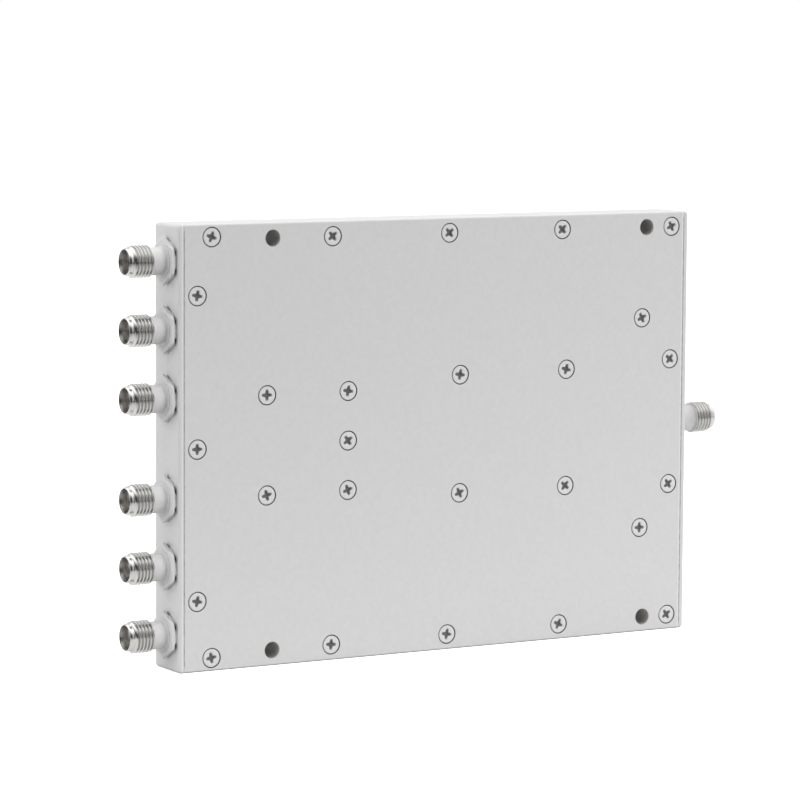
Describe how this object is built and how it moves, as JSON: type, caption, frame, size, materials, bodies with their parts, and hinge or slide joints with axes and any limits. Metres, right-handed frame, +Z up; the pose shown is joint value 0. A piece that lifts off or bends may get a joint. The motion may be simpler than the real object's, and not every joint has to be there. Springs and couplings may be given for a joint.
{
  "type": "rf power splitter",
  "caption": "Flat painted metal housing with a flush screwed cover that splits one coaxial input on its right end into coaxial outputs on its left end.",
  "frame": {"origin": "middle of the housing's bottom side, under the middle of its thickness", "axes": "+X from the outputs to the input along the housing's width, +Y from the cover to the back, +Z up the height"},
  "size_m": [0.1328, 0.01, 0.085],
  "materials": {
    "housing_paint": "fine satin light grey paint over aluminium",
    "cover_paint": "fine satin light grey paint over aluminium",
    "screw_paint": "light grey paint over steel",
    "connector_shell": "bare polished thread and nose, light grey paint on neck and flange",
    "insulator_plastic": "white fluoroplastic",
    "gold_plate": "thin gold plate",
    "laminate": "pale microwave laminate",
    "plated_copper": "gold plated copper lines",
    "resistor_body": "dark chip resistor"
  },
  "bodies": {
    "root": {"housing": "housing_paint", "cover": "cover_paint", "cover_screws": "screw_paint", "circuit_board": "laminate", "board_tracks": "plated_copper", "isolation_resistors": "resistor_body", "output_connector_1_shell": "connector_shell", "output_connector_1_insulator": "insulator_plastic", "output_connector_1_contact": "gold_plate", "output_connector_2_shell": "connector_shell", "output_connector_2_insulator": "insulator_plastic", "output_connector_2_contact": "gold_plate", "output_connector_3_shell": "connector_shell", "output_connector_3_insulator": "insulator_plastic", "output_connector_3_contact": "gold_plate", "output_connector_4_shell": "connector_shell", "output_connector_4_insulator": "insulator_plastic", "output_connector_4_contact": "gold_plate", "output_connector_5_shell": "connector_shell", "output_connector_5_insulator": "insulator_plastic", "output_connector_5_contact": "gold_plate", "output_connector_6_shell": "connector_shell", "output_connector_6_insulator": "insulator_plastic", "output_connector_6_contact": "gold_plate", "input_connector_shell": "connector_shell", "input_connector_insulator": "insulator_plastic", "input_connector_contact": "gold_plate"}
  },
  "joints": []
}
